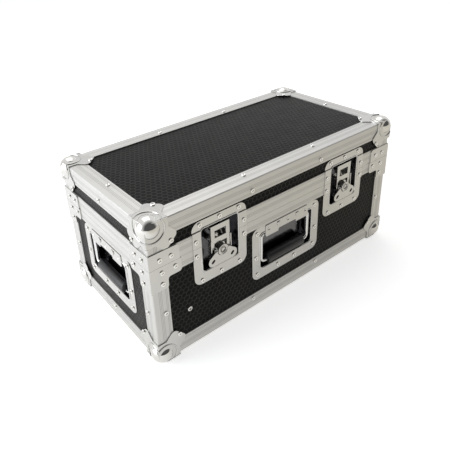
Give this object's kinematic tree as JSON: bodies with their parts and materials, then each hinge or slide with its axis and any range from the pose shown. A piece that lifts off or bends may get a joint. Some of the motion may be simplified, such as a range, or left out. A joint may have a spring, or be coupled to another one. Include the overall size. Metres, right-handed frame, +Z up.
{
  "type": "flight case",
  "caption": "Trunk-style flight case with a hinged lid, black laminated panels, aluminium edging, ball corners, recessed twist latches and recessed drop handles.",
  "frame": {"origin": "centre of the bounding box's base, on the surface the lower balls stand on", "axes": "+X to the right seen from the latches' side, +Y to the hinged back, +Z up"},
  "size_m": [0.5528, 0.2868, 0.2618],
  "materials": {
    "laminate": "black phenolic film over birch plywood, embossed with small hexagons",
    "extrusion": "satin, with fine lengthwise ribs",
    "hardware": "bright zinc plating",
    "bar": "bright plated steel bar",
    "grip": "moulded black sleeve"
  },
  "bodies": {
    "base": {"base_back_panel": "laminate", "base_ball_corners": "hardware", "base_bottom_edges": "extrusion", "base_bottom_panel": "laminate", "base_braces": "hardware", "base_front_panel": "laminate", "base_left_panel": "laminate", "base_right_panel": "laminate", "base_rim": "extrusion", "base_uprights": "extrusion", "handle_covers": "hardware", "handle_front_dish": "hardware", "handle_left_dish": "hardware", "handle_right_dish": "hardware", "hinge_base_leaves": "hardware", "hinge_pins": "hardware", "latch_base_plates": "hardware", "latch_left_lower_dish": "hardware", "latch_right_lower_dish": "hardware"},
    "lid": {"latch_left_upper_dish": "hardware", "latch_right_upper_dish": "hardware", "lid_back_panel": "laminate", "lid_ball_corners": "hardware", "lid_braces": "hardware", "lid_front_panel": "laminate", "lid_left_panel": "laminate", "lid_right_panel": "laminate", "lid_rim": "extrusion", "lid_top_edges": "extrusion", "lid_top_panel": "laminate", "lid_uprights": "extrusion", "latch_keepers": "hardware", "hinge_lid_leaves": "hardware"},
    "left_spindle": {"latch_left_spindle": "hardware", "latch_left_wing_pin": "hardware"},
    "right_spindle": {"latch_right_spindle": "hardware", "latch_right_wing_pin": "hardware"},
    "left_hook": {"latch_left_hook": "hardware"},
    "right_hook": {"latch_right_hook": "hardware"},
    "left_wing": {"latch_left_wing": "hardware"},
    "right_wing": {"latch_right_wing": "hardware"},
    "front_handle": {"handle_front_rod": "bar", "handle_front_grip": "grip"},
    "left_handle": {"handle_left_rod": "bar", "handle_left_grip": "grip"},
    "right_handle": {"handle_right_rod": "bar", "handle_right_grip": "grip"}
  },
  "joints": [
    {"name": "lid_hinge", "type": "hinge", "parent": "base", "child": "lid", "pos_m": [0, 0.14, 0.18145], "axis": [-1, 0, 0], "range_deg": [0, 100]},
    {"name": "left_spindle_turn", "type": "hinge", "parent": "base", "child": "left_spindle", "pos_m": [-0.1434, -0.137, 0.1616], "axis": [0, -1, 0], "range_deg": [0, 180]},
    {"name": "left_hook_draw", "type": "slide", "parent": "base", "child": "left_hook", "axis": [0, 0.3387, -0.9409], "range_m": [0, 0.00798]},
    {"name": "left_wing_fold", "type": "hinge", "parent": "left_spindle", "child": "left_wing", "pos_m": [-0.1434, -0.14075, 0.1616], "axis": [-1, 0, 0], "range_deg": [0, 90]},
    {"name": "right_spindle_turn", "type": "hinge", "parent": "base", "child": "right_spindle", "pos_m": [0.1434, -0.137, 0.1616], "axis": [0, -1, 0], "range_deg": [0, 180]},
    {"name": "right_hook_draw", "type": "slide", "parent": "base", "child": "right_hook", "axis": [0, 0.3387, -0.9409], "range_m": [0, 0.00798]},
    {"name": "right_wing_fold", "type": "hinge", "parent": "right_spindle", "child": "right_wing", "pos_m": [0.1434, -0.14075, 0.1616], "axis": [-1, 0, 0], "range_deg": [0, 90]},
    {"name": "front_handle_swing", "type": "hinge", "parent": "base", "child": "front_handle", "pos_m": [0, -0.1315, 0.143], "axis": [-1, 0, 0], "range_deg": [0, 90], "stiffness_Nm_per_rad": 0.05, "springref_deg": -11.46},
    {"name": "left_handle_swing", "type": "hinge", "parent": "base", "child": "left_handle", "pos_m": [-0.2645, 0, 0.143], "axis": [0, 1, 0], "range_deg": [0, 90], "stiffness_Nm_per_rad": 0.05, "springref_deg": -11.46},
    {"name": "right_handle_swing", "type": "hinge", "parent": "base", "child": "right_handle", "pos_m": [0.2645, 0, 0.143], "axis": [0, -1, 0], "range_deg": [0, 90], "stiffness_Nm_per_rad": 0.05, "springref_deg": -11.46}
  ],
  "couplings": [
    {"joint": "left_hook_draw", "follows": "left_spindle_turn", "m_per_rad": 0.0025373},
    {"joint": "right_hook_draw", "follows": "right_spindle_turn", "m_per_rad": 0.0025373}
  ]
}
